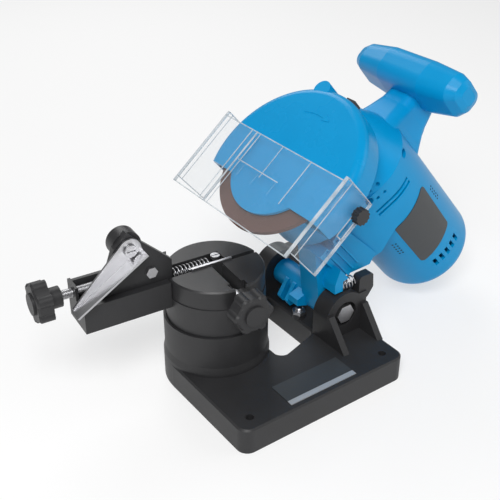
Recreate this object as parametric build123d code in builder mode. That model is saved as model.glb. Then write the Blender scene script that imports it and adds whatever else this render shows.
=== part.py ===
"""Electric bench grinder for saw chains: base, swivelling chain vise and tilting motor head.

Millimetres. The origin lies midway between the two front bench bolts, on the underside.
X runs right along the front edge, Y to the rear and Z up.
The vise pieces are drawn about the turret's axis and the head pieces about the disc's
centre, each in a frame of their own, and are placed when they are saved.
"""

import math
import os

from build123d import *

# Driving sizes
DISC_R = 50.0
DISC_THICK = 3.2
HEAD_TILT = 50.0
HEAD_AT = (24.1, 75.0, 142.2)
VISE_AT = (-31.4, 75.0, 0.0)
VISE_TURN = -5.0
BASE_HALF = 68.5
BASE_FRONT = -11.0
BASE_REAR = 128.0
BASE_HIGH = 19.0
WALL = 4.5
BOLT_X = 56.5
CUP_R = 36.0
CUP_TOP = 50.3
TURRET_R = 34.0
TURRET_TOP = 85.0
HINGE_X = 49.5
HINGE_Z = 37.0
HINGE_PIN_R = 4.0
MOTOR_Z = 40.0
BARREL_R = 38.5
BARREL_BORE_R = 35.8
NOSE_R = 24.0
GUARD_R = 62.0
GEAR_TEETH = 44
PINION_TEETH = 20
MODULE = 1.25

HEAD = Location(HEAD_AT, (0, HEAD_TILT, 0))
VISE = Location(VISE_AT, (0, 0, VISE_TURN))
ROW = Location((0, 0, 0))
TILT = math.radians(HEAD_TILT)


def head_xz(x, z):
    """A point of the row frame at rest, as x and z in the head's own frame."""
    dx = x - HEAD_AT[0]
    dz = z - HEAD_AT[2]
    return (
        dx * math.cos(TILT) - dz * math.sin(TILT),
        dx * math.sin(TILT) + dz * math.cos(TILT),
    )


HINGE = head_xz(HINGE_X, HINGE_Z)


def block(x, y, z, mode=Mode.ADD):
    """A box between two limits on each axis."""
    with Locations(((x[0] + x[1]) / 2, (y[0] + y[1]) / 2, (z[0] + z[1]) / 2)):
        Box(x[1] - x[0], y[1] - y[0], z[1] - z[0], mode=mode)


def rod_x(x, y, z, radius, mode=Mode.ADD):
    """A cylinder along X between two limits, about a line at y, z."""
    with Locations(Location(((x[0] + x[1]) / 2, y, z), (0, 90, 0))):
        Cylinder(radius, x[1] - x[0], mode=mode)


def rod_y(x, y, z, radius, mode=Mode.ADD):
    """A cylinder along Y between two limits, about a line at x, z."""
    with Locations(Location((x, (y[0] + y[1]) / 2, z), (90, 0, 0))):
        Cylinder(radius, y[1] - y[0], mode=mode)


def rod_z(x, y, z, radius, mode=Mode.ADD):
    """A cylinder along Z between two limits, about a line at x, y."""
    with Locations((x, y, (z[0] + z[1]) / 2)):
        Cylinder(radius, z[1] - z[0], mode=mode)


def slab_y(points, y, mode=Mode.ADD, rounded=0.0):
    """An outline in x and z, drawn out along Y between two limits."""
    with BuildSketch(Plane.XZ.offset(-y[1])) as face:
        with BuildLine():
            Polyline(*points, close=True)
        make_face()
        if rounded:
            fillet(face.vertices(), rounded)
    extrude(face.sketch, amount=y[1] - y[0], mode=mode)


def slab_x(points, x, mode=Mode.ADD, rounded=0.0):
    """An outline in y and z, drawn out along X between two limits."""
    with BuildSketch(Plane.YZ.offset(x[0])) as face:
        with BuildLine():
            Polyline(*points, close=True)
        make_face()
        if rounded:
            fillet(face.vertices(), rounded)
    extrude(face.sketch, amount=x[1] - x[0], mode=mode)


def slab_z(points, z, mode=Mode.ADD, rounded=0.0):
    """An outline in x and y, drawn up between two heights."""
    with BuildSketch(Plane.XY.offset(z[0])) as face:
        with BuildLine():
            Polyline(*points, close=True)
        make_face()
        if rounded:
            fillet(face.vertices(), rounded)
    extrude(face.sketch, amount=z[1] - z[0], mode=mode)


def hex_x(x, y, z, across, mode=Mode.ADD):
    """A hexagon prism along X, with the size across its flats."""
    with BuildSketch(Plane.YZ.offset(x[0])) as face:
        with Locations((y, z)):
            RegularPolygon(across / 2, 6, major_radius=False)
    extrude(face.sketch, amount=x[1] - x[0], mode=mode)


def hex_y(x, y, z, across, mode=Mode.ADD):
    """A hexagon prism along Y, with the size across its flats."""
    with BuildSketch(Plane.XZ.offset(-y[1])) as face:
        with Locations((x, z)):
            RegularPolygon(across / 2, 6, major_radius=False)
    extrude(face.sketch, amount=y[1] - y[0], mode=mode)


def save(piece, name, place):
    """Places one finished piece and writes its file."""
    solid = place * piece
    solid.label = name
    export_step(solid, f"parts/{name}.step")


def biarc(start, start_way, end, end_way):
    """The point where two equal-reach arcs meet, and the way they pass through it."""
    span = end - start
    both = start_way + end_way
    turn = 2 * (1 - start_way.dot(end_way))
    along = span.dot(both)
    reach = (-along + math.sqrt(along * along + turn * span.dot(span))) / turn
    first = start + start_way * reach
    second = end - end_way * reach
    return (first + second) * 0.5, (second - first).normalized()


def coil(radius, pitch, quarters, wire, lead):
    """A round wire spring about X from x = 0, with straight ends of one wire thickness."""
    rise = pitch / 4
    slope = pitch / (2 * math.pi * radius)
    spots = []
    ways = []
    for step in range(quarters + 1):
        angle = step * math.pi / 2
        spots.append(Vector(lead + step * rise, radius * math.cos(angle), radius * math.sin(angle)))
        ways.append(Vector(slope, -math.sin(angle), math.cos(angle)).normalized())
    with BuildPart() as spring:
        with BuildLine() as path:
            for step in range(quarters):
                middle, way = biarc(spots[step], ways[step], spots[step + 1], ways[step + 1])
                TangentArc(spots[step], middle, tangent=ways[step])
                TangentArc(middle, spots[step + 1], tangent=way)
        with BuildSketch(Plane(origin=spots[0], z_dir=ways[0])):
            Circle(wire / 2)
        sweep()
    print(f"spring of {quarters / 4} turns: least gap {pitch / math.hypot(1, slope) - wire:.2f} mm")
    return spring.part


def gear(teeth, bore, x, name, z, shift):
    """A spur gear on a shaft along X, with straight-flanked teeth."""
    pitch_r = teeth * MODULE / 2
    step = 2 * math.pi / teeth
    outline = []
    for tooth in range(teeth):
        middle = tooth * step + shift
        for share, reach in ((-0.30, -1.2), (-0.12, 0.85), (0.12, 0.85), (0.30, -1.2)):
            angle = middle + share * step
            radius = pitch_r + reach * MODULE
            outline.append((radius * math.sin(angle), z + radius * math.cos(angle)))
    with BuildPart() as wheel:
        slab_x(outline, x)
        rod_x(x, 0, z, bore, Mode.SUBTRACT)
    save(wheel.part, name, HEAD)


def knob(place, radius, lobes, thick, bore, hub):
    """A lobed hand knob about Z, from z = 0 up, with a round hub below."""
    with BuildPart() as grip:
        Cylinder(radius * 0.86, thick, align=(Align.CENTER, Align.CENTER, Align.MIN))
        chamfer(grip.faces().sort_by(Axis.Z)[-1].edges(), 1.2)
        with PolarLocations(radius * 0.74, lobes):
            Cylinder(radius * 0.26, thick - 1.2, align=(Align.CENTER, Align.CENTER, Align.MIN))
        with PolarLocations(radius * 0.74, lobes):
            with Locations((0, 0, thick - 1.2)):
                Cone(radius * 0.26, radius * 0.26 - 1.2, 1.2, align=(Align.CENTER, Align.CENTER, Align.MIN))
        Cylinder(radius * 0.5, thick + 1.6, align=(Align.CENTER, Align.CENTER, Align.MIN))
        Cylinder(radius * 0.48, hub, align=(Align.CENTER, Align.CENTER, Align.MAX))
        rod_z(0, 0, (-hub - 1, thick * 0.7), bore, Mode.SUBTRACT)
    return place * grip.part


os.makedirs("parts", exist_ok=True)

# Base casting: a hollow plate with a window, the turret's cup and two hinge ears
with BuildPart() as base_casting:
    with BuildSketch() as plate:
        with BuildLine():
            Polyline(
                (-BASE_HALF, BASE_FRONT),
                (BASE_HALF, BASE_FRONT),
                (BASE_HALF, BASE_REAR),
                (-14, BASE_REAR),
                (-50, 107),
                (-BASE_HALF, 76),
                close=True,
            )
        make_face()
        fillet(plate.vertices(), 8)
    extrude(amount=BASE_HIGH)
    slab_z([(-3.5, 36.5), (33.5, 47.3), (33.5, 107), (-3.5, 107)], (0, BASE_HIGH), Mode.SUBTRACT, 6)
    chamfer(base_casting.faces().sort_by(Axis.Z)[-1].edges(), 1.2)
    with BuildSketch() as hollow:
        with BuildLine():
            Polyline(
                (-BASE_HALF + WALL, BASE_FRONT + WALL),
                (BASE_HALF - WALL, BASE_FRONT + WALL),
                (BASE_HALF - WALL, 42),
                (31, 42),
                (-8, 31),
                (-BASE_HALF + WALL, 31),
                close=True,
            )
        make_face()
        with Locations((-BOLT_X, 0), (BOLT_X, 0)):
            Circle(8, mode=Mode.SUBTRACT)
        with Locations((-20, 10), (20, 10)):
            Rectangle(3, 60, mode=Mode.SUBTRACT)
    extrude(amount=BASE_HIGH - 5, mode=Mode.SUBTRACT)
    rod_z(VISE_AT[0], VISE_AT[1], (0, BASE_HIGH + 2), CUP_R + 1)
    with Locations((VISE_AT[0], VISE_AT[1], BASE_HIGH + 2)):
        Cone(CUP_R + 1, CUP_R, 5, align=(Align.CENTER, Align.CENTER, Align.MIN))
    rod_z(VISE_AT[0], VISE_AT[1], (BASE_HIGH, CUP_TOP), CUP_R)
    rod_z(VISE_AT[0], VISE_AT[1], (BASE_HIGH, CUP_TOP + 1), TURRET_R + 0.4, Mode.SUBTRACT)
    rod_z(VISE_AT[0], VISE_AT[1], (-1, BASE_HIGH - 5), 26, Mode.SUBTRACT)
    rod_z(VISE_AT[0], VISE_AT[1], (0, BASE_HIGH + 1), 4.3, Mode.SUBTRACT)
    for ear in ((32, 47), (104.5, 118)):
        block((HINGE_X - 17, BASE_HALF), ear, (BASE_HIGH - 5, HINGE_Z))
        rod_y(HINGE_X, ear, HINGE_Z, 17)
        block((HINGE_X, BASE_HALF), ear, (HINGE_Z - 1, HINGE_Z + 12.5))
    for rib in ((32.5, 37.5), (63.5, 68.5)):
        slab_x([(12, 18.5), (32.1, 18.5), (32.1, 41), (30, 41)], rib)
        slab_x([(117.9, 18.5), (126.5, 18.5), (117.9, 40)], rib)
    rod_y(HINGE_X, (31, 36.5), HINGE_Z, 9.6, Mode.SUBTRACT)
    rod_y(HINGE_X, (30, 119), HINGE_Z, HINGE_PIN_R + 0.02, Mode.SUBTRACT)
    rod_x((44, 61.9), 40.5, 56, 5.3, Mode.SUBTRACT)
    slab_y([(61.9, 44), (61.9, 62), (74.5, 62), (75.5, 50), (70, 42.5)], (33, 40), Mode.ADD, 2.5)
    block((61.9, 68.5), (33, 40), (44, 50))
    rod_z(37.5, 69, (BASE_HIGH - 1, BASE_HIGH + 3), 5)
    rod_z(37.5, 69, (-1, BASE_HIGH + 4), 3.02, Mode.SUBTRACT)
    for bolt_x in (-BOLT_X, BOLT_X):
        rod_z(bolt_x, 0, (-1, BASE_HIGH + 1), 2.75, Mode.SUBTRACT)
    rod_z(12, 117.5, (-1, BASE_HIGH + 1), 2.75, Mode.SUBTRACT)
save(base_casting.part, "base_casting", ROW)

# Bare label plate and its light strip
with BuildPart() as base_label:
    block((-28, 27), (-2.4, 15), (BASE_HIGH, BASE_HIGH + 0.5))
save(base_label.part, "base_label", ROW)
with BuildPart() as label_strip:
    block((-28, 27), (-6.5, -2.4), (BASE_HIGH, BASE_HIGH + 0.5))
save(label_strip.part, "label_strip", ROW)

# Hinge bolt and nut
with BuildPart() as hinge_bolt:
    hex_y(HINGE_X, (31.6, 36.5), HINGE_Z, 13)
    rod_y(HINGE_X, (36, 128), HINGE_Z, HINGE_PIN_R)
save(hinge_bolt.part, "hinge_bolt", ROW)
with BuildPart() as hinge_nut:
    hex_y(HINGE_X, (118, 124.5), HINGE_Z, 13)
    rod_y(HINGE_X, (117, 126), HINGE_Z, HINGE_PIN_R + 0.02, Mode.SUBTRACT)
save(hinge_nut.part, "hinge_nut", ROW)

# Depth stop: a set screw and its lock nut
with BuildPart() as depth_stop_screw:
    rod_z(37.5, 69, (11, 26.7), 2.95)
    chamfer(depth_stop_screw.faces().sort_by(Axis.Z)[-1].edges(), 0.8)
    block((37.1, 37.9), (66, 72), (25.7, 28), Mode.SUBTRACT)
save(depth_stop_screw.part, "depth_stop_screw", ROW)
with BuildPart() as depth_stop_nut:
    with BuildSketch(Plane.XY.offset(BASE_HIGH + 3)):
        with Locations((37.5, 69)):
            RegularPolygon(4.6, 6, major_radius=False)
    extrude(amount=2.4)
    rod_z(37.5, 69, (20, 26), 3.02, Mode.SUBTRACT)
save(depth_stop_nut.part, "depth_stop_nut", ROW)

# Bumper spring on the front ear, between the head's lug and the horn
save(coil(4.1, 2.7, 18, 1.1, 0.0), "tilt_spring", Location((48.8, 40.5, 56.2)))

# Turret washer under the vise and the bolt that holds it down
with BuildPart() as turret_washer:
    rod_z(0, 0, (12.5, 14), 12)
    rod_z(0, 0, (12, 15), 4.3, Mode.SUBTRACT)
save(turret_washer.part, "turret_washer", VISE)
with BuildPart() as turret_bolt:
    with BuildSketch(Plane.XY.offset(6)):
        RegularPolygon(6.5, 6, major_radius=False)
    extrude(amount=6.2)
    rod_z(0, 0, (6, 45), 4)
save(turret_bolt.part, "turret_bolt", VISE)

# Turret: a round block with the chain slot, the spring pocket and the clamp groove
SLOT = (0.8, 4.4)
POCKET = (5.6, 15.0)
CLAMP_X = 1.5
CLAMP_Z = 73.5
with BuildPart() as turret:
    rod_z(0, 0, (BASE_HIGH + 0.4, 71.4), TURRET_R)
    rod_z(0, 0, (71, TURRET_TOP), TURRET_R - 0.6)
    chamfer(turret.faces().sort_by(Axis.Z)[-1].edges(), 1.0)
    block((-40, 40), SLOT, (66, 90), Mode.SUBTRACT)
    block((-40, 10), (4.3, POCKET[1]), (69, 90), Mode.SUBTRACT)
    block((-17, 14.2), (4.3, 5.6), (62, 90), Mode.SUBTRACT)
    block((CLAMP_X - 4.2, CLAMP_X + 4.2), (-40, SLOT[0] + 0.1), (69.5, 90), Mode.SUBTRACT)
    rod_y(CLAMP_X, (-30.5, -25), CLAMP_Z, 6.2, Mode.SUBTRACT)
    block((CLAMP_X - 6.2, CLAMP_X + 6.2), (-30.5, -25), (CLAMP_Z, 90), Mode.SUBTRACT)
    rod_z(0, 0, (10, 45.5), 4.02, Mode.SUBTRACT)
    rod_z(6.5, 11.6, (60, 90), 2.02, Mode.SUBTRACT)
save(turret.part, "turret", VISE)

# Fixed rear jaw strip and the moving front jaw plate
with BuildPart() as rear_jaw:
    block((-17, 14.2), (4.4, 5.6), (62, 84.4))
save(rear_jaw.part, "rear_jaw", VISE)
with BuildPart() as jaw_plate:
    block((-16.5, 13.7), (0.95, 2.95), (66.4, 86.4))
save(jaw_plate.part, "jaw_plate", VISE)

# Clamp screw, its collar and knob
with BuildPart() as clamp_screw:
    rod_y(CLAMP_X, (-46, 0.85), CLAMP_Z, 2.9)
save(clamp_screw.part, "clamp_screw", VISE)
with BuildPart() as clamp_collar:
    block((CLAMP_X - 6, CLAMP_X + 6), (-30.3, -25.2), (CLAMP_Z, 79))
    rod_y(CLAMP_X, (-30.3, -25.2), CLAMP_Z, 6)
    rod_y(CLAMP_X, (-31, -25), CLAMP_Z, 2.96, Mode.SUBTRACT)
save(clamp_collar.part, "clamp_collar", VISE)
save(
    knob(Location((CLAMP_X, -39, CLAMP_Z), (90, 0, 0)), 14.5, 6, 11, 2.92, 3.5),
    "clamp_knob",
    VISE,
)

# Rail that holds the chain stop: a channel from the turret to the left
FEED_Y = 17.0
FEED_Z = 85.5
with BuildPart() as vise_rail:
    block((-92, -20), (-3, 2.3), (65, 84.2))
    block((-92, -20), (2.2, 24), (65, 69))
    block((-92, -20), (15, 24), (65, 91))
    block((-95, -47), (12, 21.5), (80.5, 95), Mode.SUBTRACT)
    rod_z(0, 0, (60, 95), TURRET_R, Mode.SUBTRACT)
save(vise_rail.part, "vise_rail", VISE)
with BuildPart() as rail_end_plate:
    slab_x([(-3, 65), (24, 65), (24, 92), (10, 92), (10, 83.2), (-3, 83.2)], (-94, -92))
    rod_x((-95, -91), FEED_Y, FEED_Z, 3.06, Mode.SUBTRACT)
save(rail_end_plate.part, "rail_end_plate", VISE)

# Hook screw in the turret and the feed spring that pulls on the chain stop's rod
with BuildPart() as spring_hook_screw:
    rod_z(6.5, 11.6, (60.2, 83), 2.0)
    rod_z(6.5, 11.6, (83, 85), 3.2)
    block((3, 11), (11.2, 12), (84.3, 86), Mode.SUBTRACT)
save(spring_hook_screw.part, "spring_hook_screw", VISE)
save(coil(3.5, 2.75, 40, 1.1, 0.0), "feed_spring", VISE * Location((-26.5, 10.4, 81.2)))

# Chain stop carriage: the black bracket that slides in the rail
PIVOT_X = -58.9
PIVOT_Z = 114.4
with BuildPart() as chain_stop_carriage:
    slab_y(
        [(-30, 69.4), (-30, 98), (-60, 126), (-69, 117), (-80, 86), (-80, 69.4)],
        (2.7, 7),
    )
    block((-80, -40), (6, 14.6), (69.4, 79.5))
    block((-60, -52), (6, 21), (80.9, 90.2))
    rod_y(PIVOT_X, (6, 16), PIVOT_Z, 10)
    rod_y(PIVOT_X, (2, 12), PIVOT_Z, 2.52, Mode.SUBTRACT)
    rod_y(-45, (2, 6), 93, 2.02, Mode.SUBTRACT)
save(chain_stop_carriage.part, "chain_stop_carriage", VISE)
with BuildPart() as carriage_screw:
    hex_y(-45, (0.7, 2.7), 93, 7)
    rod_y(-45, (2.5, 5.9), 93, 2.0)
save(carriage_screw.part, "carriage_screw", VISE)

# Chain stop finger: bent sheet steel that flips over about its pivot
with BuildPart() as chain_stop_finger:
    slab_y([(-50.2, 112.4), (-54.5, 120.6), (-64.6, 119.4), (-99.6, 83.6), (-99.4, 81.2)], (0.7, 2.3))
    rod_y(PIVOT_X, (0.7, 2.3), PIVOT_Z, 7.6)
    slab_y([(-50.4, 112.3), (-51.2, 113.4), (-100.2, 82.3), (-99.4, 81.2)], (-8.5, 2.3))
    rod_y(PIVOT_X, (-1, 3), PIVOT_Z, 2.56, Mode.SUBTRACT)
save(chain_stop_finger.part, "chain_stop_finger", VISE)
with BuildPart() as finger_pivot_screw:
    rod_y(PIVOT_X, (-1.2, 0.4), PIVOT_Z, 4.2)
    rod_y(PIVOT_X, (0, 11.9), PIVOT_Z, 2.5)
    block((PIVOT_X - 3, PIVOT_X + 3), (-1.3, -0.5), (PIVOT_Z - 0.4, PIVOT_Z + 0.4), Mode.SUBTRACT)
save(finger_pivot_screw.part, "finger_pivot_screw", VISE)

# Feed screw and the feed knob on its end
with BuildPart() as feed_screw:
    rod_x((-116, -60.05), FEED_Y, FEED_Z, 3.0)
save(feed_screw.part, "feed_screw", VISE)
save(
    knob(Location((-110, FEED_Y, FEED_Z), (0, -90, 0)), 14.5, 6, 10, 3.02, 8),
    "feed_knob",
    VISE,
)

# Motor housing: gear case, barrel, arm and hinge barrel, moulded in two halves
H_X, H_Z = HINGE
with BuildPart() as housing:
    slab_y([(40, 80), (40, -32), (81, -29.5), (97, -9), (100, 4), (92, 20), (88, 34), (83, 80)], (-39, 39))
    with BuildSketch(Plane.YZ.offset(39)) as body:
        with Locations((0, MOTOR_Z)):
            Circle(BARREL_R)
        with Locations((0, -1)):
            Circle(30)
        make_hull()
    extrude(body.sketch, amount=70, mode=Mode.INTERSECT)
    block((30, 47.9), (-60, 60), (0, 100), Mode.SUBTRACT)
    rod_x((48, 145), 0, MOTOR_Z, BARREL_R)
    with Locations(Location((32, 0, MOTOR_Z), (0, 90, 0))):
        Cone(NOSE_R, BARREL_R, 32)
    with BuildSketch(Plane.YZ.offset(16)) as case:
        with Locations((0, MOTOR_Z)):
            Circle(NOSE_R)
        with Locations((0, 0)):
            Circle(34)
        make_hull()
    extrude(case.sketch, amount=32)
    slab_y([(50, -5), (50, -31), (81, -29.5), (97, -9), (94, 0)], (-32.5, -6))
    slab_y([(50, -20), (50, -31), (89.8, -56.6), (104, -39.7), (81, -29), (80, -20)], (-27.2, -8))
    rod_y(H_X, (-27.2, -6), H_Z, 11)
    rod_y(H_X, (-7, 28.7), H_Z, 9.6)
    for plate_y in ((2, 5.5), (10.5, 14)):
        slab_y([(86.5, -51), (92, -66.5), (97.6, -67.2), (106, -54)], plate_y, Mode.ADD, 1.5)
    slab_y([(84.6, -61.3), (88.5, -64.6), (96.9, -59.2), (88.05, -52.5)], (-11, -1))
    lug = [head_xz(41, 62), head_xz(41, 55), head_xz(48.2, 55), head_xz(48.2, 63)]
    slab_y(lug + [(78.5, -28), (66, -28)], (-40, -26))
    for fin_z in (-26, -20.5, -15):
        block((52, 84), (-34, -31), (fin_z, fin_z + 1.8))
    rod_y(H_X, (-40, 40), H_Z, HINGE_PIN_R + 0.05, Mode.SUBTRACT)
    with BuildSketch(Plane.YZ.offset(28.5)) as room:
        with Locations((0, MOTOR_Z)):
            Circle(NOSE_R - 2.5)
        with Locations((0, 0)):
            Circle(31.2)
        make_hull()
    extrude(room.sketch, amount=16.5, mode=Mode.SUBTRACT)
    rod_x((57, 146), 0, MOTOR_Z, BARREL_BORE_R, Mode.SUBTRACT)
    block((57, 76), (-14, 14), (-24, 10), Mode.SUBTRACT)
    rod_x((20, 29), 0, 0, 14, Mode.SUBTRACT)
    rod_x((15, 21), 0, 0, 7.5, Mode.SUBTRACT)
    rod_x((44, 53), 0, 0, 14, Mode.SUBTRACT)
    rod_x((44, 52), 0, MOTOR_Z, 11, Mode.SUBTRACT)
    rod_x((51, 58), 0, MOTOR_Z, 6, Mode.SUBTRACT)
    for screw in ((51, 61), (51, 20), (51, -20), (22, 24)):
        rod_y(screw[0], (-45, -16), screw[1], 3.0, Mode.SUBTRACT)
        rod_y(screw[0], (-17, 12), screw[1], 1.5, Mode.SUBTRACT)
    for hole in ((45, 32), (54, 32), (45, 25), (54, 26), (46, 8), (46, 0)):
        rod_y(hole[0], (-45, -30.5), hole[1], 1.3, Mode.SUBTRACT)
    for slot_x in ((63.0, 65.2), (67.2, 69.4)):
        for side in (-1, 1):
            with BuildSketch(Plane.YZ.offset(slot_x[0])) as cut:
                with BuildLine():
                    Polyline(
                        (side * 20, 18 + 8),
                        (side * 45, 14),
                        (side * 45, 52),
                        (side * 20, 48),
                        close=True,
                    )
                make_face()
            extrude(cut.sketch, amount=slot_x[1] - slot_x[0], mode=Mode.SUBTRACT)

with BuildPart() as housing_near:
    add(housing.part)
    block((-20, 250), (0, 80), (-120, 150), Mode.SUBTRACT)
save(housing_near.part, "housing_near", HEAD)
with BuildPart() as housing_far:
    add(housing.part)
    block((-20, 250), (-80, 0), (-120, 150), Mode.SUBTRACT)
save(housing_far.part, "housing_far", HEAD)

with BuildPart() as housing_screws:
    for screw in ((51, 61), (51, 20), (51, -20), (22, 24)):
        rod_y(screw[0], (-18.2, -16), screw[1], 2.9)
        rod_y(screw[0], (-17, 11), screw[1], 1.48)
save(housing_screws.part, "housing_screws", HEAD)

# End cap with vents and the rear bearing's seat
with BuildPart() as end_cap:
    rod_x((145, 180), 0, MOTOR_Z, BARREL_R)
    fillet(end_cap.faces().sort_by(Axis.X)[-1].edges(), 11)
    rod_x((144, 165), 0, MOTOR_Z, BARREL_BORE_R, Mode.SUBTRACT)
    rod_x((164, 176), 0, MOTOR_Z, 27, Mode.SUBTRACT)
    rod_x((150, 177), 0, MOTOR_Z, 13.5)
    rod_x((149, 158), 0, MOTOR_Z, 11, Mode.SUBTRACT)
    rod_x((157, 162), 0, MOTOR_Z, 5, Mode.SUBTRACT)
    for side in (-1, 1):
        for row in range(5):
            high = 27 + row * 6.0
            block((150, 158), (min(side * 22, side * 45), max(side * 22, side * 45)), (high, high + 3), Mode.SUBTRACT)
    rod_x((175, 181), 0, 62, 5.02, Mode.SUBTRACT)
save(end_cap.part, "end_cap", HEAD)

# Cord gland in the end cap
with BuildPart() as cord_gland:
    rod_x((175.5, 181), 0, 62, 5.0)
    rod_x((180, 189), 0, 62, 6.5)
    rod_x((174, 190), 0, 62, 3.3, Mode.SUBTRACT)
save(cord_gland.part, "cord_gland", HEAD)

# Bare label on the barrel's near side
with BuildPart() as motor_label:
    rod_x((82, 144.9), 0, MOTOR_Z, BARREL_R + 0.5)
    rod_x((81, 146), 0, MOTOR_Z, BARREL_R + 0.02, Mode.SUBTRACT)
    with BuildSketch(Plane.XZ) as rhombus:
        with BuildLine():
            Polyline((93, 21), (144, 21), (136, 55), (84, 57), close=True)
        make_face()
        fillet(rhombus.vertices(), 3)
    extrude(rhombus.sketch, amount=50, mode=Mode.INTERSECT)
save(motor_label.part, "motor_label", HEAD)

# T-handle with a hollow neck for the trigger and its switch
with BuildPart() as handle:
    for high, middle, long, wide in ((66, 64, 54, 40), (79, 62.5, 45, 32), (90, 61, 36, 28), (103, 60, 31, 26)):
        with BuildSketch(Plane.XY.offset(high)):
            with Locations((middle, 0)):
                RectangleRounded(long, wide, 8)
    loft(ruled=True)
    rod_x((48, 150), 0, MOTOR_Z, BARREL_R, Mode.SUBTRACT)
    with Locations(Location((32, 0, MOTOR_Z), (0, 90, 0))):
        Cone(NOSE_R, BARREL_R, 32, mode=Mode.SUBTRACT)
    block((63.5, 95), (-6, 6), (80.5, 98.6), Mode.SUBTRACT)
    block((50, 64), (-9, 9), (82, 98), Mode.SUBTRACT)
with BuildPart() as handle_bar:
    for reach, wide, high, centre in (
        (-49, 14, 9, 115),
        (-47, 24, 17, 114.5),
        (-41, 32, 23, 113.5),
        (-19, 39, 27, 112),
        (19, 39, 27, 111.5),
        (42, 31, 22, 111.5),
        (48.5, 24, 16, 111.5),
        (51, 14, 8, 111.5),
    ):
        with BuildSketch(Plane.XZ.offset(-reach)):
            with Locations((48, centre)):
                RectangleRounded(wide, high, high * 0.38)
    loft(ruled=True)
handle_whole = handle.part + handle_bar.part
save(handle_whole, "handle", HEAD)
with BuildPart() as trigger:
    slab_y([(70, 81.5), (86, 81.2), (89.5, 84), (84.5, 93), (81, 98.2), (70, 98.2)], (-5.6, 5.6))
save(trigger.part, "trigger", HEAD)
with BuildPart() as switch_body:
    block((51, 62), (-8, 8), (83, 97))
    block((62, 64.5), (-2, 2), (88, 92))
save(switch_body.part, "switch_body", HEAD)

# Wheel guard: cover with a rounded front rim, open below, and its back plate
with BuildPart() as guard:
    rod_x((-4, 13.5), 0, 0, GUARD_R)
    fillet(guard.faces().sort_by(Axis.X)[0].edges(), 6)
    rod_x((-2, 5), 0, 0, GUARD_R - 6, Mode.SUBTRACT)
    rod_x((1.5, 14), 0, 0, GUARD_R - 2.5, Mode.SUBTRACT)
    block((-5, 14), (-63, 63), (-63, -22), Mode.SUBTRACT)
    rod_x((-4, -2), 0, 0, DISC_R - 11.5)
    rod_x((-3.4, 13.5), 14, 59, 6.5)
    rod_x((-1, 12), 0, 0, DISC_R + 5, Mode.SUBTRACT)
    for side in (-1, 1):
        block((9, 13.5), (min(side * 58, side * 61), max(side * 58, side * 61)), (-5, 6))
save(guard.part, "guard", HEAD)
with BuildPart() as guard_back_plate:
    rod_x((13.5, 16), 0, 0, GUARD_R)
    block((13, 17), (-63, 63), (-63, -22), Mode.SUBTRACT)
    rod_x((13.5, 16), 0, 0, 34)
    rod_x((13, 17), 0, 0, 8, Mode.SUBTRACT)
    for side in (-1, 1):
        rod_x((13, 17), side * 22, 36, 2.02, Mode.SUBTRACT)
save(guard_back_plate.part, "guard_back_plate", HEAD)
with BuildPart() as guard_latch:
    block((8, 16), (-7, 1), (62.2, 65))
save(guard_latch.part, "guard_latch", HEAD)

# Clear shield: ribbed front panel and two slotted side walls, held by thumb nuts
STUD_X = 14.5
with BuildPart() as shield:
    block((-13, -11), (-64.4, 64.4), (-50, 9))
    for side in (-1, 1):
        block((-13, 20), (min(side * 62.4, side * 64.4), max(side * 62.4, side * 64.4)), (-46, 12))
        block((STUD_X - 2.3, STUD_X + 2.3), (min(side * 60, side * 66), max(side * 60, side * 66)), (-17.8, 3), Mode.SUBTRACT)
    block((-14, -13), (-3.6, -2.4), (-17, 9))
    block((-14, -13), (-32.6, -31.4), (-25, 9))
    block((-14, -13), (21, 31), (-50, 9))
    block((-14, -13), (-20, 24), (-15, -13.4))
    for bar_y in (-20, -2, 14):
        block((-14, -13), (bar_y, bar_y + 1.6), (-24, -15))
save(shield.part, "shield", HEAD)
with BuildPart() as shield_studs:
    for side in (-1, 1):
        rod_y(STUD_X, (min(side * 62, side * 69), max(side * 62, side * 69)), 0.7, 2.0)
save(shield_studs.part, "shield_studs", HEAD)
for side, name in ((-1, "thumb_nut_near"), (1, "thumb_nut_far")):
    with BuildPart() as thumb_nut:
        rod_y(STUD_X, (min(side * 64.7, side * 70), max(side * 64.7, side * 70)), 0.7, 5.0)
        for step in range(12):
            angle = step * math.pi / 6
            ridge_x = STUD_X + 5 * math.cos(angle)
            ridge_z = 0.7 + 5 * math.sin(angle)
            rod_y(ridge_x, (min(side * 64.7, side * 70), max(side * 64.7, side * 70)), ridge_z, 0.7)
        rod_y(STUD_X, (min(side * 60, side * 69), max(side * 60, side * 69)), 0.7, 2.02, Mode.SUBTRACT)
    save(thumb_nut.part, name, HEAD)

# Grinding disc between its flanges on the spindle
with BuildPart() as grinding_disc:
    rod_x((0, DISC_THICK), 0, 0, DISC_R)
    rod_x((-1, 4), 0, 0, 5, Mode.SUBTRACT)
save(grinding_disc.part, "grinding_disc", HEAD)
with BuildPart() as outer_flange:
    rod_x((-1.6, 0), 0, 0, 15)
    rod_x((0, 2.9), 0, 0, 4.97)
    rod_x((-2, 4), 0, 0, 2.55, Mode.SUBTRACT)
    rod_x((-1.7, -0.4), 0, 0, 4.1, Mode.SUBTRACT)
save(outer_flange.part, "outer_flange", HEAD)
with BuildPart() as disc_screw:
    rod_x((-1.6, -0.4), 0, 0, 4.05)
    rod_x((-0.4, 15), 0, 0, 2.45)
    hex_x((-1.7, -0.9), 0, 0, 3, Mode.SUBTRACT)
save(disc_screw.part, "disc_screw", HEAD)
with BuildPart() as inner_flange:
    rod_x((DISC_THICK, 7), 0, 0, 15)
    rod_x((3, 8), 0, 0, 6.02, Mode.SUBTRACT)
save(inner_flange.part, "inner_flange", HEAD)
with BuildPart() as spindle:
    rod_x((DISC_THICK, 52), 0, 0, 6)
    rod_x((2, 16), 0, 0, 2.5, Mode.SUBTRACT)
save(spindle.part, "spindle", HEAD)
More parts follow.
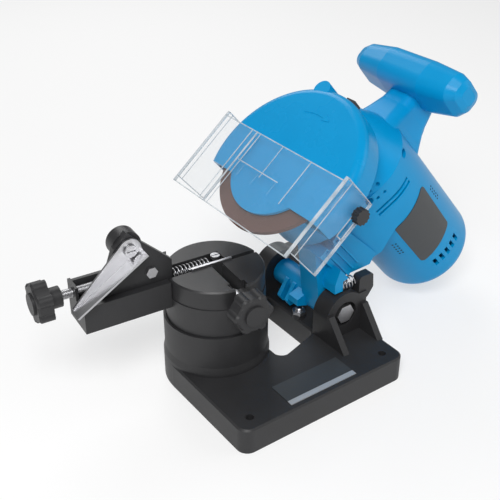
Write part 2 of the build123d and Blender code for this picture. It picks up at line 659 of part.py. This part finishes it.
for name, seats, high, outer, bore in (
    ("spindle_bearings", ((20, 28), (45, 53)), 0, 13.97, 6.05),
    ("motor_bearings", ((45, 52), (150, 157)), MOTOR_Z, 10.97, 4.05),
):
    with BuildPart() as bearings:
        for seat in seats:
            rod_x(seat, 0, high, outer)
            rod_x((seat[0] - 1, seat[1] + 1), 0, high, bore, Mode.SUBTRACT)
    save(bearings.part, name, HEAD)

# Reduction gears: the pinion sits above the gear, tooth against gap
gear(GEAR_TEETH, 6.02, (31, 43), "spindle_gear", 0, 0)
gear(PINION_TEETH, 4.02, (31, 43), "motor_pinion", MOTOR_Z, math.pi / PINION_TEETH)

# Motor: shaft, armature, commutator, fan, stator and brushes
with BuildPart() as motor_shaft:
    rod_x((29.5, 160), 0, MOTOR_Z, 4.0)
save(motor_shaft.part, "motor_shaft", HEAD)
with BuildPart() as armature:
    rod_x((78, 118), 0, MOTOR_Z, 21)
    for step in range(12):
        angle = step * math.pi / 6
        rod_x((77, 119), 18.5 * math.sin(angle), MOTOR_Z + 18.5 * math.cos(angle), 2.2, Mode.SUBTRACT)
    rod_x((77, 119), 0, MOTOR_Z, 4.02, Mode.SUBTRACT)
save(armature.part, "armature", HEAD)
with BuildPart() as commutator:
    rod_x((126, 140), 0, MOTOR_Z, 11)
    rod_x((125, 141), 0, MOTOR_Z, 4.02, Mode.SUBTRACT)
save(commutator.part, "commutator", HEAD)
with BuildPart() as fan:
    rod_x((60, 70), 0, MOTOR_Z, 9)
    for step in range(9):
        angle = step * 40
        with Locations(Location((65, 0, MOTOR_Z), (angle, 0, 0))):
            with Locations((0, 18, 0)):
                Box(10, 22, 1.2)
    rod_x((59, 71), 0, MOTOR_Z, 4.02, Mode.SUBTRACT)
save(fan.part, "fan", HEAD)
with BuildPart() as stator:
    rod_x((78, 118), 0, MOTOR_Z, BARREL_BORE_R - 0.1)
    rod_x((77, 119), 0, MOTOR_Z, 22, Mode.SUBTRACT)
    for side in (-1, 1):
        block((77, 119), (min(side * 20, side * 30), max(side * 20, side * 30)), (MOTOR_Z - 9, MOTOR_Z + 9), Mode.SUBTRACT)
save(stator.part, "stator", HEAD)
with BuildPart() as brush_holders:
    for side in (-1, 1):
        block((129, 137), (min(side * 13, side * 34), max(side * 13, side * 34)), (MOTOR_Z - 4, MOTOR_Z + 4))
        block((130, 136), (min(side * 12, side * 32), max(side * 12, side * 32)), (MOTOR_Z - 3, MOTOR_Z + 3), Mode.SUBTRACT)
save(brush_holders.part, "brush_holders", HEAD)
with BuildPart() as brushes:
    for side in (-1, 1):
        block((130.1, 135.9), (min(side * 11.3, side * 24), max(side * 11.3, side * 24)), (MOTOR_Z - 2.9, MOTOR_Z + 2.9))
save(brushes.part, "brushes", HEAD)
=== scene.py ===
"""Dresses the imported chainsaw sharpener: finishes, small details, lamps, floor and camera."""

import math

import bpy
from mathutils import Euler, Matrix, Vector


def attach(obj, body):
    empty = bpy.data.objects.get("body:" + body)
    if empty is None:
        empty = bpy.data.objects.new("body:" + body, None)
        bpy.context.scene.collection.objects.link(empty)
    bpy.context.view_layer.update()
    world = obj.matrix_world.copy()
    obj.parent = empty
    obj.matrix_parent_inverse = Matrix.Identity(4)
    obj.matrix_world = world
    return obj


MM = 0.001

# Camera, fitted to the photograph's view
CAMERA_AT = Vector((-0.3082, -0.3519, 0.4034))
CAMERA_WAY = Vector((0.4985, 0.6963, -0.5165))
CAMERA_LENS = 64.8
CAMERA_SENSOR = 36.0

# Places that the details need, as the CAD has them
HEAD_AT = Vector((0.0241, 0.075, 0.1422))
HEAD_TILT = math.radians(50.0)
VISE_AT = Vector((-0.0314, 0.075, 0.0))
VISE_TURN = math.radians(-5.0)
BARREL_R = 38.5 * MM
BARREL_Z = 40.0 * MM
GUARD_FRONT = -4.0 * MM

HEAD = Matrix.Translation(HEAD_AT) @ Euler((0.0, HEAD_TILT, 0.0)).to_matrix().to_4x4()
VISE = Matrix.Translation(VISE_AT) @ Euler((0.0, 0.0, VISE_TURN)).to_matrix().to_4x4()

# The clear sheet in mm, in the head's frame: front panel and side walls
SHEET_FRONT = -13.2
SHEET_RIB = (-14.1, -13.8)
SHEET_HALF = 64.4
SHEET_TOP = 9.0
SHEET_FOOT = -50.0
WALL_BACK = 20.1
WALL_TOP = 12.0
WALL_FOOT = -46.0
SLOT_SIDES = (11.4, 12.2, 16.8, 17.6)
SLOT_ENDS = (-18.6, -17.8, 3.0, 3.8)
STRIP_AT = -7.5
SHEET_EDGE = 0.5

# Places of the small details, in mm in the frame of the vise
FEED_THREAD_AT = Vector((-101.5, 17.0, 85.5))
CLAMP_THREAD_AT = Vector((1.5, -24.5, 73.5))
THREAD_PITCH = 1.0

# Vent dots on the barrel: name, place along it in mm, and turn about it in degrees
DOT_ROWS = (("upper_vent_dots", 105.5, -35.0), ("lower_vent_dots", 116.5, 41.0))
DOT_COLUMNS = 5
DOT_LINES = 2
DOT_LENGTH = 13.0
DOT_RISE = 2.6

# The raised arrow on the guard: radius and width in mm, ends in degrees
ARROW_R = 42.0
ARROW_WIDTH = 1.8
ARROW_ENDS = (72.0, 98.0)

# Floor: half its side in metres, and the share of its own glow that the camera sees
FLOOR_REACH = 3.0
FLOOR_DROP = 0.0002
FLOOR_GLOW = 0.55
SKY_LIGHT = 0.26

# Paint and plastic colours, linear
BLUE = (0.0, 0.300, 0.630)
BLUE_DEEP = (0.0, 0.262, 0.560)
BLACK = (0.018, 0.018, 0.019)
BLACK_WORN = (0.030, 0.030, 0.032)
STEEL = (0.62, 0.62, 0.63)
STEEL_DARK = (0.42, 0.42, 0.44)
ABRASIVE = (0.155, 0.068, 0.045)
ABRASIVE_DARK = (0.080, 0.034, 0.024)


class Wire:
    """One value in a node tree, with arithmetic that adds its Math nodes."""

    def __init__(self, tree, socket):
        self.tree = tree
        self.socket = socket

    def _sum(self, operation, first, second):
        node = self.tree.nodes.new("ShaderNodeMath")
        node.operation = operation
        feed(self.tree, node.inputs[0], first)
        feed(self.tree, node.inputs[1], second)
        return Wire(self.tree, node.outputs[0])

    def __add__(self, other):
        return self._sum("ADD", self, other)

    def __radd__(self, other):
        return self._sum("ADD", other, self)

    def __sub__(self, other):
        return self._sum("SUBTRACT", self, other)

    def __rsub__(self, other):
        return self._sum("SUBTRACT", other, self)

    def __mul__(self, other):
        return self._sum("MULTIPLY", self, other)

    def __rmul__(self, other):
        return self._sum("MULTIPLY", other, self)

    def __truediv__(self, other):
        return self._sum("DIVIDE", self, other)

    def __rtruediv__(self, other):
        return self._sum("DIVIDE", other, self)

    def __pow__(self, other):
        return self._sum("POWER", self, other)


def feed(tree, socket, value):
    """Links a wire to a socket, or sets the socket's own value."""
    if isinstance(value, Wire):
        tree.links.new(value.socket, socket)
    else:
        socket.default_value = value


def make(tree, kind, settings=None, inputs=None):
    """Any one node: its settings first, then the values or links of its sockets."""
    node = tree.nodes.new(kind)
    for name, value in (settings or {}).items():
        setattr(node, name, value)
    for name, value in (inputs or {}).items():
        feed(tree, node.inputs[name], value)
    return node


class Finish:
    """One surface finish around a single Principled shader."""

    def __init__(self, name, colour, roughness, metallic=0.0):
        self.material = bpy.data.materials.new(name)
        self.material.use_nodes = True
        self.tree = self.material.node_tree
        self.shader = self.tree.nodes["Principled BSDF"]
        self.shader.inputs["Base Color"].default_value = (*colour, 1.0)
        self.shader.inputs["Roughness"].default_value = roughness
        self.shader.inputs["Metallic"].default_value = metallic
        self.place = Wire(self.tree, make(self.tree, "ShaderNodeTexCoord").outputs["Object"])

    def stretched(self, scale):
        node = make(self.tree, "ShaderNodeMapping", inputs={"Vector": self.place, "Scale": scale})
        return Wire(self.tree, node.outputs["Vector"])

    def noise(self, scale, detail=3.0, place=None):
        node = make(
            self.tree,
            "ShaderNodeTexNoise",
            inputs={"Vector": place or self.place, "Scale": scale, "Detail": detail},
        )
        return Wire(self.tree, node.outputs["Fac"])

    def cells(self, scale):
        node = make(
            self.tree,
            "ShaderNodeTexVoronoi",
            inputs={"Vector": self.place, "Scale": scale},
        )
        return Wire(self.tree, node.outputs["Distance"])

    def blend(self, share, first, second):
        node = make(self.tree, "ShaderNodeMix", {"data_type": "RGBA"})
        feed(self.tree, node.inputs["Factor"], share)
        node.inputs[6].default_value = (*first, 1.0)
        node.inputs[7].default_value = (*second, 1.0)
        return Wire(self.tree, node.outputs[2])

    def colour(self, wire):
        feed(self.tree, self.shader.inputs["Base Color"], wire)

    def roughness(self, wire):
        feed(self.tree, self.shader.inputs["Roughness"], wire)

    def bump(self, height, strength, distance):
        node = make(
            self.tree,
            "ShaderNodeBump",
            inputs={"Height": height, "Strength": strength, "Distance": distance},
        )
        feed(self.tree, self.shader.inputs["Normal"], Wire(self.tree, node.outputs["Normal"]))


def blue_plastic(name, shine):
    """Moulded blue plastic with a faint unevenness and fine grain."""
    finish = Finish(name, BLUE, shine)
    finish.shader.inputs["Specular IOR Level"].default_value = 0.22
    patches = finish.noise(26.0)
    finish.colour(finish.blend(patches, BLUE_DEEP, BLUE))
    finish.roughness(shine + 0.10 * patches)
    finish.bump(finish.noise(1900.0), 0.10, 0.0002)
    return finish.material


def black_plastic(name, shine, grain):
    """Black textured plastic, a little greyer where it is rubbed."""
    finish = Finish(name, BLACK, shine)
    finish.shader.inputs["Specular IOR Level"].default_value = 0.42
    patches = finish.noise(40.0)
    finish.colour(finish.blend(patches, BLACK, BLACK_WORN))
    finish.roughness(shine + 0.14 * patches)
    finish.bump(finish.noise(grain), 0.22, 0.0003)
    return finish.material


def bright_steel(name, shine, stretch):
    """Rolled or turned steel with fine marks along one way."""
    finish = Finish(name, STEEL, shine, 1.0)
    marks = finish.noise(900.0, 4.0, finish.stretched(stretch))
    finish.colour(finish.blend(marks, STEEL_DARK, STEEL))
    finish.roughness(shine + 0.18 * marks)
    finish.bump(marks, 0.04, 0.0001)
    return finish.material


def abrasive():
    """Bonded brown abrasive with coarse grains."""
    finish = Finish("bonded_abrasive", ABRASIVE, 0.85)
    grains = finish.cells(1500.0)
    finish.colour(finish.blend(grains, ABRASIVE_DARK, ABRASIVE))
    finish.roughness(0.75 + 0.2 * finish.noise(700.0))
    finish.bump(grains, 0.5, 0.0004)
    return finish.material


def clear_plastic():
    """Clear bent sheet: mostly seen through, whiter where it is seen edge on."""
    finish = Finish("clear_sheet", (0.66, 0.73, 0.78), 0.08)
    edge = make(finish.tree, "ShaderNodeLayerWeight", inputs={"Blend": 0.42})
    facing = Wire(finish.tree, edge.outputs["Facing"])
    feed(finish.tree, finish.shader.inputs["Alpha"], 0.045 + 0.22 * facing * facing)
    finish.roughness(0.06 + 0.06 * finish.noise(30.0))
    finish.shader.inputs["Specular IOR Level"].default_value = 0.9
    finish.material.surface_render_method = "BLENDED"
    return finish.material


def clear_edge_highlight():
    """The sheet's cut edges and ribs: pale, with painted highlights that make them bright, still a little
    clear.
    """
    finish = Finish("clear_sheet_edge_highlight", (0.86, 0.93, 0.98), 0.15)
    # Painted glints: noise turns the edge strips from dark grey-blue to near white, and makes them more
    # opaque where bright.
    glint = finish.noise(90.0)
    finish.colour(finish.blend(glint, (0.30, 0.38, 0.44), (0.95, 0.98, 1.0)))
    feed(finish.tree, finish.shader.inputs["Alpha"], 0.35 + 0.45 * glint)
    finish.roughness(0.10 + 0.10 * glint)
    finish.material.surface_render_method = "BLENDED"
    return finish.material


def plain(name, colour, roughness, metallic=0.0):
    """A simple finish with a faint change of roughness."""
    finish = Finish(name, colour, roughness, metallic)
    finish.roughness(roughness + 0.12 * finish.noise(300.0))
    return finish.material


def wear(nodes, names, material):
    """Gives CAD nodes a finish."""
    for name in names:
        data = nodes[name].data
        data.materials.clear()
        data.materials.append(material)


def socket(tree, name, kind, value):
    """Adds one named input to a geometry tree."""
    item = tree.interface.new_socket(name, in_out="INPUT", socket_type=kind)
    item.default_value = value
    return item


def geometry_tree(name, sizes):
    """A geometry tree with named inputs, and its two end nodes."""
    tree = bpy.data.node_groups.new(name, "GeometryNodeTree")
    tree.interface.new_socket("Geometry", in_out="OUTPUT", socket_type="NodeSocketGeometry")
    for size_name, kind, value in sizes:
        socket(tree, size_name, kind, value)
    return tree, tree.nodes.new("NodeGroupInput"), tree.nodes.new("NodeGroupOutput")


def close_tree(tree, end, instances, material):
    """Ends a tree in real geometry with one material."""
    real = tree.nodes.new("GeometryNodeRealizeInstances")
    paint = tree.nodes.new("GeometryNodeSetMaterial")
    paint.inputs["Material"].default_value = material
    tree.links.new(instances, real.inputs[0])
    tree.links.new(real.outputs[0], paint.inputs["Geometry"])
    tree.links.new(paint.outputs[0], end.inputs[0])


def grown(name, tree, place, material):
    """Runs a geometry tree, and keeps its result as a plain mesh at its place."""
    carrier = bpy.data.objects.new(name, bpy.data.meshes.new(name))
    bpy.context.scene.collection.objects.link(carrier)
    modifier = carrier.modifiers.new("grow", "NODES")
    modifier.node_group = tree
    ready = carrier.evaluated_get(bpy.context.evaluated_depsgraph_get())
    data = bpy.data.meshes.new_from_object(ready)
    bpy.data.objects.remove(carrier)
    data.name = name
    data.transform(place)
    if not data.materials:
        data.materials.append(material)
    piece = bpy.data.objects.new(name, data)
    bpy.context.scene.collection.objects.link(piece)
    return piece


def thread_rings(name, count, pitch, radius, place, material):
    """Thread crests on a screw along X: rings one pitch apart."""
    tree, start, end = geometry_tree(
        name,
        (
            ("Count", "NodeSocketInt", count),
            ("Pitch", "NodeSocketFloat", pitch),
            ("Radius", "NodeSocketFloat", radius),
            ("Crest", "NodeSocketFloat", pitch * 0.34),
        ),
    )
    links = tree.links
    line = tree.nodes.new("GeometryNodeMeshLine")
    step = tree.nodes.new("ShaderNodeCombineXYZ")
    links.new(start.outputs["Pitch"], step.inputs["X"])
    links.new(start.outputs["Count"], line.inputs["Count"])
    links.new(step.outputs[0], line.inputs["Offset"])
    ring = tree.nodes.new("GeometryNodeCurvePrimitiveCircle")
    ring.inputs["Resolution"].default_value = 24
    links.new(start.outputs["Radius"], ring.inputs["Radius"])
    crest = tree.nodes.new("GeometryNodeCurvePrimitiveCircle")
    crest.inputs["Resolution"].default_value = 4
    links.new(start.outputs["Crest"], crest.inputs["Radius"])
    body = tree.nodes.new("GeometryNodeCurveToMesh")
    links.new(ring.outputs["Curve"], body.inputs["Curve"])
    links.new(crest.outputs["Curve"], body.inputs["Profile Curve"])
    spread = tree.nodes.new("GeometryNodeInstanceOnPoints")
    spread.inputs["Rotation"].default_value = (0.0, math.pi / 2, 0.0)
    links.new(line.outputs[0], spread.inputs["Points"])
    links.new(body.outputs[0], spread.inputs["Instance"])
    close_tree(tree, end, spread.outputs[0], material)
    return grown(name, tree, place, material)


def vent_dots(name, columns, rows, length, rise, place, material):
    """Small dark discs of painted shade for vent holes, in rows bent to the barrel's curve."""
    tree, start, end = geometry_tree(
        name,
        (
            ("Columns", "NodeSocketInt", columns),
            ("Rows", "NodeSocketInt", rows),
            ("Length", "NodeSocketFloat", length),
            ("Rise", "NodeSocketFloat", rise),
            ("Barrel", "NodeSocketFloat", BARREL_R),
        ),
    )
    links = tree.links
    grid = tree.nodes.new("GeometryNodeMeshGrid")
    links.new(start.outputs["Length"], grid.inputs["Size X"])
    links.new(start.outputs["Rise"], grid.inputs["Size Y"])
    links.new(start.outputs["Columns"], grid.inputs["Vertices X"])
    links.new(start.outputs["Rows"], grid.inputs["Vertices Y"])
    here = tree.nodes.new("GeometryNodeInputPosition")
    parts = tree.nodes.new("ShaderNodeSeparateXYZ")
    links.new(here.outputs[0], parts.inputs[0])
    barrel = Wire(tree, start.outputs["Barrel"])
    angle = Wire(tree, parts.outputs["Y"]) / barrel
    cosine = make(tree, "ShaderNodeMath", {"operation": "COSINE"})
    feed(tree, cosine.inputs[0], angle)
    sine = make(tree, "ShaderNodeMath", {"operation": "SINE"})
    feed(tree, sine.inputs[0], angle)
    out_y = -1.0 * (Wire(tree, cosine.outputs[0]) * barrel)
    out_z = Wire(tree, sine.outputs[0]) * barrel
    spot = make(tree, "ShaderNodeCombineXYZ", inputs={"Y": out_y, "Z": out_z})
    links.new(parts.outputs["X"], spot.inputs["X"])
    bend = tree.nodes.new("GeometryNodeSetPosition")
    links.new(grid.outputs["Mesh"], bend.inputs["Geometry"])
    links.new(spot.outputs[0], bend.inputs["Position"])
    turn = tree.nodes.new("FunctionNodeAlignRotationToVector")
    turn.axis = "Z"
    hole = tree.nodes.new("GeometryNodeMeshCylinder")
    hole.inputs["Vertices"].default_value = 12
    hole.inputs["Radius"].default_value = 0.75 * MM
    hole.inputs["Depth"].default_value = 0.12 * MM
    kept = tree.nodes.new("GeometryNodeCaptureAttribute")
    kept.capture_items.new("VECTOR", "Way")
    links.new(bend.outputs[0], kept.inputs["Geometry"])
    at = tree.nodes.new("GeometryNodeInputPosition")
    flat = make(tree, "ShaderNodeVectorMath", {"operation": "MULTIPLY"})
    links.new(at.outputs[0], flat.inputs[0])
    flat.inputs[1].default_value = (0.0, 1.0, 1.0)
    links.new(flat.outputs[0], kept.inputs["Way"])
    links.new(kept.outputs["Way"], turn.inputs["Vector"])
    spread = tree.nodes.new("GeometryNodeInstanceOnPoints")
    links.new(kept.outputs["Geometry"], spread.inputs["Points"])
    links.new(hole.outputs["Mesh"], spread.inputs["Instance"])
    links.new(turn.outputs[0], spread.inputs["Rotation"])
    close_tree(tree, end, spread.outputs[0], material)
    return grown(name, tree, place, material)


def turning_arrow(name, radius, width, start_deg, end_deg, material):
    """A thin raised arrow on the guard's front that shows which way the disc turns."""
    steps = 18
    outline = []
    inner = []
    for step in range(steps + 1):
        angle = math.radians(start_deg + (end_deg - start_deg) * step / steps)
        outline.append(((radius + width / 2) * math.cos(angle), (radius + width / 2) * math.sin(angle)))
        inner.append(((radius - width / 2) * math.cos(angle), (radius - width / 2) * math.sin(angle)))
    tip = math.radians(end_deg + 9.0)
    base = math.radians(end_deg)
    head = [
        ((radius + 1.5 * width) * math.cos(base), (radius + 1.5 * width) * math.sin(base)),
        (radius * math.cos(tip), radius * math.sin(tip)),
        ((radius - 1.5 * width) * math.cos(base), (radius - 1.5 * width) * math.sin(base)),
    ]
    loop = outline + head + inner[::-1]
    front = GUARD_FRONT - 0.35 * MM
    back = GUARD_FRONT + 0.05 * MM
    count = len(loop)
    points = [(front, y, z) for y, z in loop] + [(back, y, z) for y, z in loop]
    faces = [tuple(range(count)), tuple(range(2 * count - 1, count - 1, -1))]
    for side in range(count):
        other = (side + 1) % count
        faces.append((side, side + count, other + count, other))
    data = bpy.data.meshes.new(name)
    data.from_pydata(points, [], faces)
    data.transform(HEAD)
    data.materials.append(material)
    piece = bpy.data.objects.new(name, data)
    bpy.context.scene.collection.objects.link(piece)
    return piece


def boxes(name, limits, place, material):
    """Many small boxes in one mesh, each given by its three pairs of limits in mm."""
    points = []
    faces = []
    for wide, deep, high in limits:
        first = len(points)
        for x in wide:
            for y in deep:
                for z in high:
                    points.append((x * MM, y * MM, z * MM))
        for face in ((0, 1, 3, 2), (4, 6, 7, 5), (0, 4, 5, 1), (2, 3, 7, 6), (0, 2, 6, 4), (1, 5, 7, 3)):
            faces.append(tuple(first + corner for corner in face))
    data = bpy.data.meshes.new(name)
    data.from_pydata(points, [], faces)
    data.transform(place)
    data.materials.append(material)
    piece = bpy.data.objects.new(name, data)
    bpy.context.scene.collection.objects.link(piece)
    return piece


def shield_edge_highlights(material):
    """Painted highlights: bright strips along the clear sheet's edges, ribs and slots, where the light
    gathers.
    """
    panel = (SHEET_FRONT, SHEET_FRONT + 0.8)
    across = (-SHEET_HALF, SHEET_HALF)
    limits = [
        (panel, across, (8.5, 9.2)),
        (panel, across, (-50.2, -49.4)),
        (SHEET_RIB, (-3.7, -3.3), (-17, SHEET_TOP)),
        (SHEET_RIB, (-32.7, -32.2), (-25, SHEET_TOP)),
        (SHEET_RIB, (21, 21.7), (SHEET_FOOT, SHEET_TOP)),
        (SHEET_RIB, (24.5, 25.9), (SHEET_FOOT, SHEET_TOP)),
        (SHEET_RIB, (30.3, 31), (SHEET_FOOT, SHEET_TOP)),
        (SHEET_RIB, (-20, 24), (-14.0, -13.4)),
    ]
    outer_x = (SLOT_SIDES[0], SLOT_SIDES[3])
    outer_z = (SLOT_ENDS[0], SLOT_ENDS[3])
    for side in (-1, 1):
        wall = tuple(sorted((side * 62.3, side * 64.5)))
        face = tuple(sorted((side * 64.3, side * 64.6)))
        limits += [
            ((SHEET_FRONT, SHEET_FRONT + 1.0), wall, (SHEET_FOOT, WALL_TOP)),
            ((-13, WALL_BACK), wall, (WALL_TOP - 0.5, WALL_TOP + 0.1)),
            ((-13, WALL_BACK), wall, (WALL_FOOT - 0.1, WALL_FOOT + 0.5)),
            ((WALL_BACK - 0.7, WALL_BACK), wall, (WALL_FOOT, WALL_TOP)),
            (SLOT_SIDES[:2], face, outer_z),
            (SLOT_SIDES[2:], face, outer_z),
            (outer_x, face, SLOT_ENDS[:2]),
            (outer_x, face, SLOT_ENDS[2:]),
            ((STRIP_AT, STRIP_AT + SHEET_EDGE), face, (WALL_FOOT, WALL_TOP)),
        ]
    return boxes("shield_edge_highlights", limits, HEAD, material)


def camera():
    """The photograph's view."""
    data = bpy.data.cameras.new("view_camera")
    data.lens = CAMERA_LENS
    data.sensor_width = CAMERA_SENSOR
    view = bpy.data.objects.new("view_camera", data)
    view.location = CAMERA_AT
    view.rotation_euler = CAMERA_WAY.to_track_quat("-Z", "Y").to_euler()
    bpy.context.scene.collection.objects.link(view)
    bpy.context.scene.camera = view


def lamp(name, place, aim, size, power):
    """A large soft area lamp aimed at one point."""
    data = bpy.data.lights.new(name, "AREA")
    data.size = size
    data.energy = power
    light = bpy.data.objects.new(name, data)
    light.location = place
    light.rotation_euler = (Vector(aim) - Vector(place)).to_track_quat("-Z", "Y").to_euler()
    bpy.context.scene.collection.objects.link(light)


def studio():
    """White floor that keeps the shadow, white surroundings and soft lamps."""
    paper = bpy.data.materials.new("floor_paper")
    paper.use_nodes = True
    tree = paper.node_tree
    tree.nodes.clear()
    matte = make(tree, "ShaderNodeBsdfDiffuse", inputs={"Color": (0.95, 0.95, 0.95, 1.0)})
    glow = make(tree, "ShaderNodeEmission", inputs={"Color": (1.0, 1.0, 1.0, 1.0), "Strength": 1.0})
    rays = make(tree, "ShaderNodeLightPath")
    seen = Wire(tree, rays.outputs["Is Camera Ray"]) + Wire(tree, rays.outputs["Is Glossy Ray"])
    share = make(tree, "ShaderNodeMixShader")
    feed(tree, share.inputs[0], seen * FLOOR_GLOW)
    tree.links.new(matte.outputs[0], share.inputs[1])
    tree.links.new(glow.outputs[0], share.inputs[2])
    end = make(tree, "ShaderNodeOutputMaterial")
    tree.links.new(share.outputs[0], end.inputs["Surface"])

    data = bpy.data.meshes.new("floor")
    corners = [(x * FLOOR_REACH, y * FLOOR_REACH, 0) for x, y in ((-1, -1), (1, -1), (1, 1), (-1, 1))]
    data.from_pydata(corners, [], [(0, 1, 2, 3)])
    data.transform(Matrix.Translation((0.0, 0.0, -FLOOR_DROP)))
    data.materials.append(paper)
    floor = bpy.data.objects.new("floor", data)
    bpy.context.scene.collection.objects.link(floor)

    world = bpy.data.worlds.new("studio")
    bpy.context.scene.world = world
    world.use_nodes = True
    tree = world.node_tree
    tree.nodes.clear()
    rays = make(tree, "ShaderNodeLightPath")
    camera_ray = Wire(tree, rays.outputs["Is Camera Ray"])
    clear_ray = Wire(tree, rays.outputs["Is Transmission Ray"])
    strength = SKY_LIGHT + (1.0 - SKY_LIGHT) * (camera_ray + clear_ray)
    sky = make(tree, "ShaderNodeBackground", inputs={"Color": (1.0, 1.0, 1.0, 1.0), "Strength": strength})
    end = make(tree, "ShaderNodeOutputWorld")
    tree.links.new(sky.outputs[0], end.inputs["Surface"])

    lamp("key_lamp", (-0.55, -0.55, 1.05), (0.03, 0.05, 0.08), 0.55, 13.0)
    lamp("fill_lamp", (0.95, -0.6, 0.6), (0.05, 0.05, 0.08), 0.8, 2.6)
    lamp("back_lamp", (0.3, 1.0, 0.9), (0.03, 0.05, 0.10), 0.7, 5.0)


def dress(nodes):
    """Every node's finish, from the outside in."""
    wear(nodes, ("base_casting",), black_plastic("cast_base_black", 0.42, 1500.0))
    wear(
        nodes,
        ("turret", "vise_rail", "rail_end_plate", "chain_stop_carriage"),
        black_plastic("vise_black", 0.36, 1100.0),
    )
    wear(
        nodes,
        ("clamp_knob", "feed_knob", "guard_latch", "thumb_nut_near", "thumb_nut_far"),
        black_plastic("knob_black", 0.40, 1700.0),
    )
    wear(
        nodes,
        ("switch_body", "cord_gland", "brush_holders"),
        black_plastic("fittings_black", 0.5, 1400.0),
    )
    wear(nodes, ("base_label", "motor_label"), plain("label_dark_grey", (0.040, 0.044, 0.048), 0.35))
    wear(nodes, ("label_strip",), plain("label_silver", (0.52, 0.54, 0.56), 0.35, 0.5))
    wear(
        nodes,
        ("housing_near", "housing_far", "end_cap", "handle", "trigger"),
        blue_plastic("housing_blue", 0.30),
    )
    wear(nodes, ("guard", "guard_back_plate"), blue_plastic("guard_blue", 0.22))
    wear(nodes, ("shield",), clear_plastic())
    wear(nodes, ("grinding_disc",), abrasive())
    wear(
        nodes,
        ("chain_stop_finger", "rear_jaw", "jaw_plate"),
        bright_steel("sheet_steel", 0.24, (1.0, 1.0, 12.0)),
    )
    wear(
        nodes,
        (
            "feed_screw",
            "clamp_screw",
            "clamp_collar",
            "outer_flange",
            "inner_flange",
            "spindle",
            "spindle_gear",
            "motor_pinion",
            "motor_shaft",
            "spindle_bearings",
            "motor_bearings",
            "armature",
            "stator",
        ),
        bright_steel("turned_steel", 0.26, (12.0, 1.0, 1.0)),
    )
    wear(
        nodes,
        (
            "hinge_bolt",
            "hinge_nut",
            "depth_stop_screw",
            "depth_stop_nut",
            "tilt_spring",
            "turret_washer",
            "turret_bolt",
            "spring_hook_screw",
            "feed_spring",
            "carriage_screw",
            "finger_pivot_screw",
            "housing_screws",
            "shield_studs",
            "disc_screw",
        ),
        bright_steel("plated_steel", 0.30, (1.0, 1.0, 1.0)),
    )
    wear(nodes, ("commutator",), plain("commutator_copper", (0.72, 0.36, 0.20), 0.35, 1.0))
    wear(nodes, ("fan",), plain("fan_grey", (0.20, 0.20, 0.21), 0.5))
    wear(nodes, ("brushes",), plain("brush_carbon", (0.03, 0.03, 0.03), 0.7))


def details():
    """Threads, vent dots of painted shade, the sheet's edges with painted highlights, and the raised
    arrow.
    """
    steel = bpy.data.materials["turned_steel"]
    # Painted shade: near-black blue for the inside of the vent holes.
    dark = plain("vent_shadow", (0.004, 0.016, 0.03), 0.8)
    threads = thread_rings(
        "feed_threads",
        34,
        THREAD_PITCH * MM,
        2.95 * MM,
        VISE @ Matrix.Translation(FEED_THREAD_AT * MM),
        steel,
    )
    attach(threads, "feed")
    clamp_way = Euler((0.0, 0.0, math.pi / 2)).to_matrix().to_4x4()
    clamp_threads = thread_rings(
        "clamp_threads",
        24,
        THREAD_PITCH * MM,
        2.85 * MM,
        VISE @ Matrix.Translation(CLAMP_THREAD_AT * MM) @ clamp_way,
        steel,
    )
    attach(clamp_threads, "clamp")
    barrel_line = Matrix.Translation((0.0, 0.0, BARREL_Z))
    for name, along, turn in DOT_ROWS:
        rows = vent_dots(
            name,
            DOT_COLUMNS,
            DOT_LINES,
            DOT_LENGTH * MM,
            DOT_RISE * MM,
            HEAD
            @ barrel_line
            @ Matrix.Rotation(math.radians(turn), 4, "X")
            @ Matrix.Translation((along * MM, 0.0, 0.0)),
            dark,
        )
        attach(rows, "head")
    # Strips of painted highlight along the clear sheet's edges, ribs and slots.
    edges = shield_edge_highlights(clear_edge_highlight())
    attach(edges, "shield")
    arrow = turning_arrow(
        "turning_arrow", ARROW_R * MM, ARROW_WIDTH * MM, *ARROW_ENDS, bpy.data.materials["guard_blue"]
    )
    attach(arrow, "head")


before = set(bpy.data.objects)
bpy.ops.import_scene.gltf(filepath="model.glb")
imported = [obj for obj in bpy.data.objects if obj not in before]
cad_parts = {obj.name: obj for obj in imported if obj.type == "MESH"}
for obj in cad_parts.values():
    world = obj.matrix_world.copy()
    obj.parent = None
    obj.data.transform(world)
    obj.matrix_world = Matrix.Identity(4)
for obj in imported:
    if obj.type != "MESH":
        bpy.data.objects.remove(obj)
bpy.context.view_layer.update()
bpy.context.scene.view_settings.view_transform = "Standard"
dress(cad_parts)
details()
studio()
camera()
